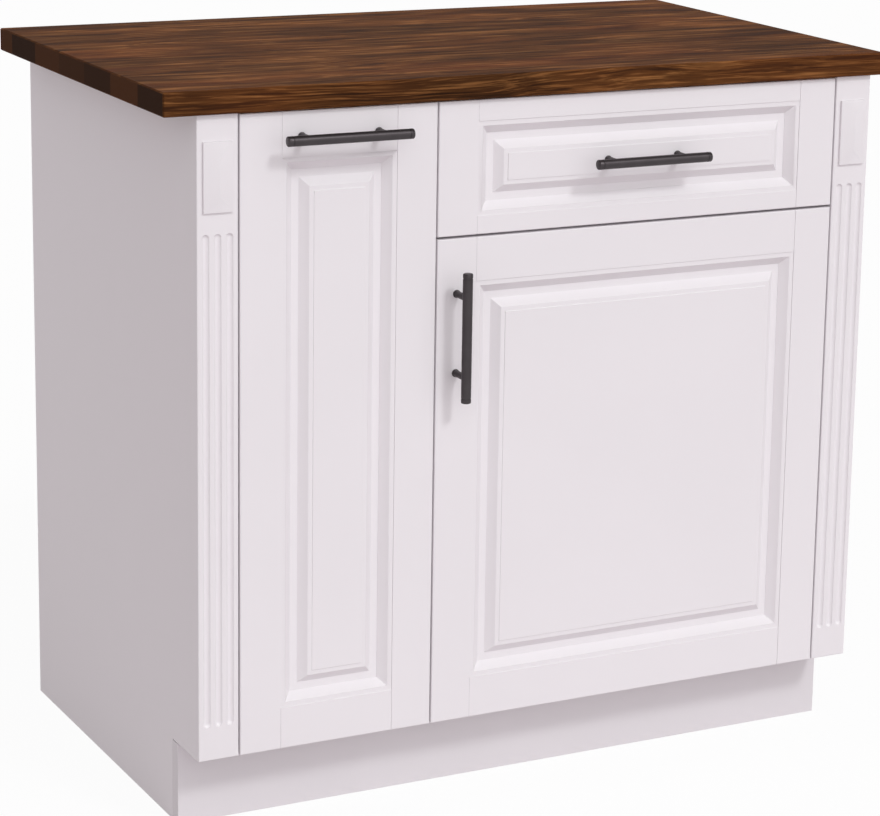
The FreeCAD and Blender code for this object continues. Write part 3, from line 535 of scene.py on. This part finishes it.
# %% A copy with merged faces
def select_only(piece):
    bpy.ops.object.select_all(action="DESELECT")
    piece.select_set(True)
    bpy.context.view_layer.objects.active = piece


def merged_copy(node_name):
    """A copy of a node that stands alone, with its triangles merged into flat faces."""
    select_only(NODES[node_name])
    bpy.ops.object.duplicate()
    piece = bpy.context.active_object
    piece.name = node_name + "_eased"
    piece.parent = None
    for key in list(piece.keys()):
        del piece[key]
    bpy.ops.object.mode_set(mode="EDIT")
    bpy.ops.mesh.select_all(action="SELECT")
    bpy.ops.mesh.remove_doubles(threshold=0.01 * MM)
    bpy.ops.mesh.dissolve_limited(angle_limit=math.radians(0.5))
    bpy.ops.object.mode_set(mode="OBJECT")
    return piece


# %% Round the sharp edges
SHARP_FROM = math.radians(28)
SMOOTH_BELOW = math.radians(50)


def on_mitre(face):
    normal = face.normal
    return abs(normal.y) < 0.01 and abs(abs(normal.x) - abs(normal.z)) < 0.01


def round_edges(piece, radius):
    """Bevel the sharp edges, but none that bounds a mitre, and smooth the result."""
    bpy.ops.object.mode_set(mode="EDIT")
    bpy.ops.mesh.select_mode(type="EDGE")
    bpy.ops.mesh.select_all(action="DESELECT")
    bpy.ops.mesh.edges_select_sharp(sharpness=SHARP_FROM)
    mesh = bmesh.from_edit_mesh(piece.data)
    for edge in mesh.edges:
        if edge.select and any(on_mitre(face) for face in edge.link_faces):
            edge.select_set(False)
    bmesh.update_edit_mesh(piece.data)
    bpy.ops.mesh.bevel(offset=radius, segments=2, profile=0.5, clamp_overlap=True)
    bpy.ops.object.mode_set(mode="OBJECT")
    bpy.ops.object.shade_smooth_by_angle(angle=SMOOTH_BELOW)
    bpy.ops.object.modifier_add(type="WEIGHTED_NORMAL")
    piece.modifiers[-1].keep_sharp = True
    bpy.ops.object.modifier_apply(modifier=piece.modifiers[-1].name)


# %% Ease every board and tray
SLOT_ROUNDS = {
    "white_paint": 0.5 * MM,
    "birch_drawer_box": 0.7 * MM,
    "grey_tray_plastic": 0.7 * MM,
}
PIECES = {}


def stand_in(piece, node_name):
    """Let a piece move with a node and be shown in its place."""
    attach(piece, body_of(NODES[node_name])[0])
    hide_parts(node_name)
    PIECES[node_name] = piece


for node_name, slot_name in SLOT_OF.items():
    if slot_name in SLOT_ROUNDS:
        eased = merged_copy(node_name)
        round_edges(eased, SLOT_ROUNDS[slot_name])
        stand_in(eased, node_name)
print(len(PIECES), "pieces with eased edges")

# %% [markdown]
# ## Handles
# Each bar handle is turned work: a round bar with softened ends, a fine groove cut near each end,
# and two posts that widen into a small foot on the front. Stacked cylinders would give the sizes
# but not the soft ends and grooves. So each part is made as on a lathe: a profile, a line of
# points, that the spin operator sweeps once round its axis.


# %% Turn a profile about an axis
def turned(name, start, direction, profile, steps=48):
    """Spin points, given as (along, radius) in millimetres, about the line through start."""
    direction = Vector(direction)
    side = Vector((1, 0, 0)) if abs(direction.z) > 0.5 else Vector((0, 0, 1))
    points = [start + (along * direction + radius * side) * MM for along, radius in profile]
    mesh = bpy.data.meshes.new(name)
    mesh.from_pydata(points, [(number, number + 1) for number in range(len(points) - 1)], [])
    piece = bpy.data.objects.new(name, mesh)
    bpy.context.scene.collection.objects.link(piece)
    select_only(piece)
    bpy.ops.object.mode_set(mode="EDIT")
    bpy.ops.mesh.select_all(action="SELECT")
    bpy.ops.mesh.spin(steps=steps, angle=2 * math.pi, center=start, axis=direction)
    bpy.ops.mesh.select_all(action="SELECT")
    bpy.ops.mesh.remove_doubles(threshold=0.002 * MM)
    bpy.ops.mesh.normals_make_consistent(inside=False)
    bpy.ops.object.mode_set(mode="OBJECT")
    bpy.ops.object.shade_smooth_by_angle(angle=math.radians(35))
    return piece


def joined(pieces):
    select_only(pieces[0])
    for piece in pieces:
        piece.select_set(True)
    bpy.ops.object.join()
    return bpy.context.active_object


# %% The profiles of a bar and of a post, in millimetres
BAR_RADIUS = 6
GROOVE_RADIUS = BAR_RADIUS - 0.45
POST_RADIUS = 4
FOOT_RADIUS = 4.8


def bar_profile(length):
    half = [
        (0, 0), (0, 5.0), (0.3, 5.6), (1.0, BAR_RADIUS),
        (5.2, BAR_RADIUS), (5.4, GROOVE_RADIUS), (6.4, GROOVE_RADIUS), (6.6, BAR_RADIUS),
    ]
    return half + [(length - along, radius) for along, radius in reversed(half)]


def post_profile(reach):
    return [
        (0, 0), (0, POST_RADIUS), (reach - 1.6, POST_RADIUS),
        (reach - 1.2, FOOT_RADIUS), (reach - 0.2, FOOT_RADIUS), (reach, FOOT_RADIUS - 0.2), (reach, 0),
    ]


print("handle bars", 2 * BAR_RADIUS, "mm thick")

# %% The three handles
HOLE_CENTRES = 96


def bar_handle(node_name):
    """A bar along the node's longer side, at its front, and two posts back to the surface."""
    low, high = (Vector(corner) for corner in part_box(node_name))
    size = high - low
    middle = (low + high) / 2
    middle.y = low.y + BAR_RADIUS * MM
    direction = Vector((1, 0, 0)) if size.x > size.z else Vector((0, 0, 1))
    length = max(size.x, size.z) / MM
    reach = (high.y - middle.y) / MM
    start = middle - direction * length / 2 * MM
    parts = [turned(node_name + "_turned", start, direction, bar_profile(length))]
    for side in (-1, 1):
        post_start = middle + direction * side * HOLE_CENTRES / 2 * MM
        parts.append(turned("post", post_start, (0, 1, 0), post_profile(reach), steps=32))
    piece = joined(parts)
    dress(piece, OTHER_FINISH.get(node_name, SLOT_OF[node_name]))
    stand_in(piece, node_name)
    print(node_name, round(length), "mm long,", round(reach + BAR_RADIUS), "mm off its front")


for node_name in ("pull_out_handle", "drawer_handle", "door_handle"):
    bar_handle(node_name)

# %% [markdown]
# ## Screws that show when the fronts are open
# The hinges and slides are held by small round-headed cross-recess screws. A painted dot could
# stand for each, but these are seen close when a front is open. One head is turned and its recess
# cut with two crossed blocks, then it is copied to each place with its own mesh.

# %% One screw head, looking along X
HEAD_RADIUS = 3.2
HEAD_PROFILE = [
    (-0.4, 0), (-0.4, HEAD_RADIUS), (0.3, HEAD_RADIUS),
    (0.8, 2.8), (1.2, 2.0), (1.45, 1.0), (1.5, 0),
]
RECESS_LENGTH = 3.6
RECESS_WIDTH = 0.7
CUTTER_DEPTH = 2.4
CUTTER_MIDDLE = 1.8


def cut_slot(piece, width, height):
    """Cut a slot this wide and this high, in millimetres, into the head."""
    size = [side * MM for side in (CUTTER_DEPTH, width, height)]
    bpy.ops.mesh.primitive_cube_add(size=1, location=(CUTTER_MIDDLE * MM, 0, 0), scale=size)
    bpy.ops.object.transform_apply(location=True, rotation=True, scale=True)
    block = bpy.context.active_object
    select_only(piece)
    bpy.ops.object.modifier_add(type="BOOLEAN")
    piece.modifiers[-1].operation = "DIFFERENCE"
    piece.modifiers[-1].object = block
    bpy.ops.object.modifier_apply(modifier=piece.modifiers[-1].name)
    bpy.data.objects.remove(block)


screw_head = turned("screw_head", Vector((0, 0, 0)), (1, 0, 0), HEAD_PROFILE, steps=24)
cut_slot(screw_head, RECESS_LENGTH, RECESS_WIDTH)
cut_slot(screw_head, RECESS_WIDTH, RECESS_LENGTH)
print("screw head with", len(screw_head.data.polygons), "faces")


# %% Copies of the head
def screws(name, body, places, outward):
    """Copies of the screw head at places in metres, all looking outward, as one piece."""
    turn = Vector((1, 0, 0)).rotation_difference(Vector(outward)).to_matrix().to_4x4()
    copies = []
    for place in places:
        copy = bpy.data.objects.new(name, screw_head.data.copy())
        bpy.context.scene.collection.objects.link(copy)
        copy.data.transform(Matrix.Translation(place) @ turn)
        copies.append(copy)
    piece = joined(copies)
    dress(piece, "zinc_steel")
    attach(piece, body)
    PIECES[name] = piece
    print(name, "has", len(places), "screws")


# %% The hinges' screws
PLATE_HEIGHT = 50
PLATE_SCREW_INSET = 12
PLATE_SCREW_SPREAD = 17
CUP_WING_HEIGHT = 62
CUP_SCREW_SPREAD = 25


def heights_of_screws(low, high, height, spread):
    """Two heights on each of the two hinges, whose members are this high, in metres."""
    middles = (low[2] + height / 2 * MM, high[2] - height / 2 * MM)
    return [z + side * spread * MM for z in middles for side in (-1, 1)]


low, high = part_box("hinge_plates")
heights = heights_of_screws(low, high, PLATE_HEIGHT, PLATE_SCREW_SPREAD)
places = [Vector((low[0], high[1] - PLATE_SCREW_INSET * MM, z)) for z in heights]
screws("hinge_plate_screws", "cabinet", places, (-1, 0, 0))

low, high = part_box("hinge_cups")
heights = heights_of_screws(low, high, CUP_WING_HEIGHT, CUP_SCREW_SPREAD)
places = [Vector(((low[0] + high[0]) / 2, high[1], z)) for z in heights]
screws("hinge_cup_screws", "door", places, (0, 1, 0))

# %% The slides' screws
CHANNEL_DEPTH = 8.5
CHANNEL_WEB = 1.2
SCREWS_ALONG = (38, 230, 440)
WEB_INSET = (CHANNEL_DEPTH - CHANNEL_WEB) * MM

for runner, body in (("drawer_slide", "drawer"), ("pull_out_slide", "pull_out")):
    low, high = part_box(runner + "_moving_channels")
    z = (low[2] + high[2]) / 2
    for side, outward, x in (("left", -1, low[0] + WEB_INSET), ("right", 1, high[0] - WEB_INSET)):
        places = [Vector((x, low[1] + along * MM, z)) for along in SCREWS_ALONG]
        screws(runner + "_" + side + "_screws", body, places, (outward, 0, 0))
bpy.data.objects.remove(screw_head)
print(len(PIECES), "pieces made here")

# %% [markdown]
# ## Light
# A studio lights a white cabinet with a bright room all round, which fills every shadow, and with
# softboxes. A single strong lamp would be simpler, but it leaves the side black. Here the key lamp
# is high on the right and fairly small, so it models the mouldings and drops the handles' shadows
# down to the left. A broad softbox lights the fronts, and two weak ones the left side and the
# back. Sun lamps stand in for them all, because a sun's light is as even over the whole piece as
# that of a distant softbox.

# %% The room's light
ROOM_TONE = (1.0, 0.93, 0.94, 1.0)
ROOM_LIGHT = 0.39

world = bpy.data.worlds.new("studio")
bpy.context.scene.world = world
world.use_nodes = True
world.node_tree.nodes["Background"].inputs["Color"].default_value = ROOM_TONE
world.node_tree.nodes["Background"].inputs["Strength"].default_value = ROOM_LIGHT
print("room light", ROOM_LIGHT)

# %% The lamps
LAMP_TONE = (0.97, 1.0, 1.0)
LAMPS = {
    # Strength, apparent size in degrees, and the direction that the light comes from.
    "key_lamp": (0.78, 9, (0.244, -0.70, 0.67)),
    "front_softbox": (1.30, 90, (0.09, -0.94, 0.32)),
    "left_softbox": (0.25, 90, (-0.80, -0.50, 0.35)),
    "rear_softbox": (0.30, 90, (0.25, 0.95, 0.12)),
}

for name, (strength, size, direction) in LAMPS.items():
    lamp = bpy.data.lights.new(name, "SUN")
    lamp.energy = strength
    lamp.angle = math.radians(size)
    lamp.color = LAMP_TONE
    stand = bpy.data.objects.new(name, lamp)
    stand.rotation_euler = Vector(direction).to_track_quat("Z", "Y").to_euler()
    bpy.context.scene.collection.objects.link(stand)
print("lamps:", ", ".join(LAMPS))

# %% [markdown]
# ## Floor
# In the photograph the floor and the wall are one white sweep of paper. Light strong enough to
# turn a plain floor white would wash out the cabinet. So the floor's own material does it: rays
# from the camera and from mirrors see it nearly white, through Light Path, with a little of its
# shading left so that the shadow shows. All other rays meet a plain grey floor, which throws soft
# light up under the mouldings. The Standard view shows each colour as it is, where other views
# would grey the white.

# %% A wide floor
FLOOR_SIZE = 60
FLOOR_BOUNCE = linear(212, 202, 206)
FLOOR_SEEN = linear(248, 248, 248)
GLOW_SHARE = 0.94
WHITE = (1.0, 1.0, 1.0, 1.0)

bpy.ops.mesh.primitive_plane_add(size=FLOOR_SIZE)
floor = bpy.context.active_object
floor.name = "floor"
pale = Finish("pale_floor", {"Roughness": 0.9})
camera_ray = pale.node("LightPath", {}, {}, "Is Camera Ray")
glossy_ray = pale.node("LightPath", {}, {}, "Is Glossy Ray")
seen = camera_ray.larger(glossy_ray)
pale.surface(Base_Color=pale.mix(seen, FLOOR_BOUNCE, FLOOR_SEEN))
glow = pale.node("Emission", {}, {"Color": WHITE, "Strength": 1.0})
shading = Wire(pale, pale.shader.outputs[0])
blended = pale.node("MixShader", {}, {0: seen * GLOW_SHARE, 1: shading, 2: glow})
pale.tree.links.new(blended.socket, pale.tree.nodes["Material Output"].inputs["Surface"])
floor.data.materials.append(pale.material)

scene = bpy.context.scene
scene.view_settings.view_transform = "Standard"
print("floor", FLOOR_SIZE, "m wide, seen in the", scene.view_settings.view_transform, "view")

# %% [markdown] ## Sizes The dressed cabinet has to be as large as the construction model.
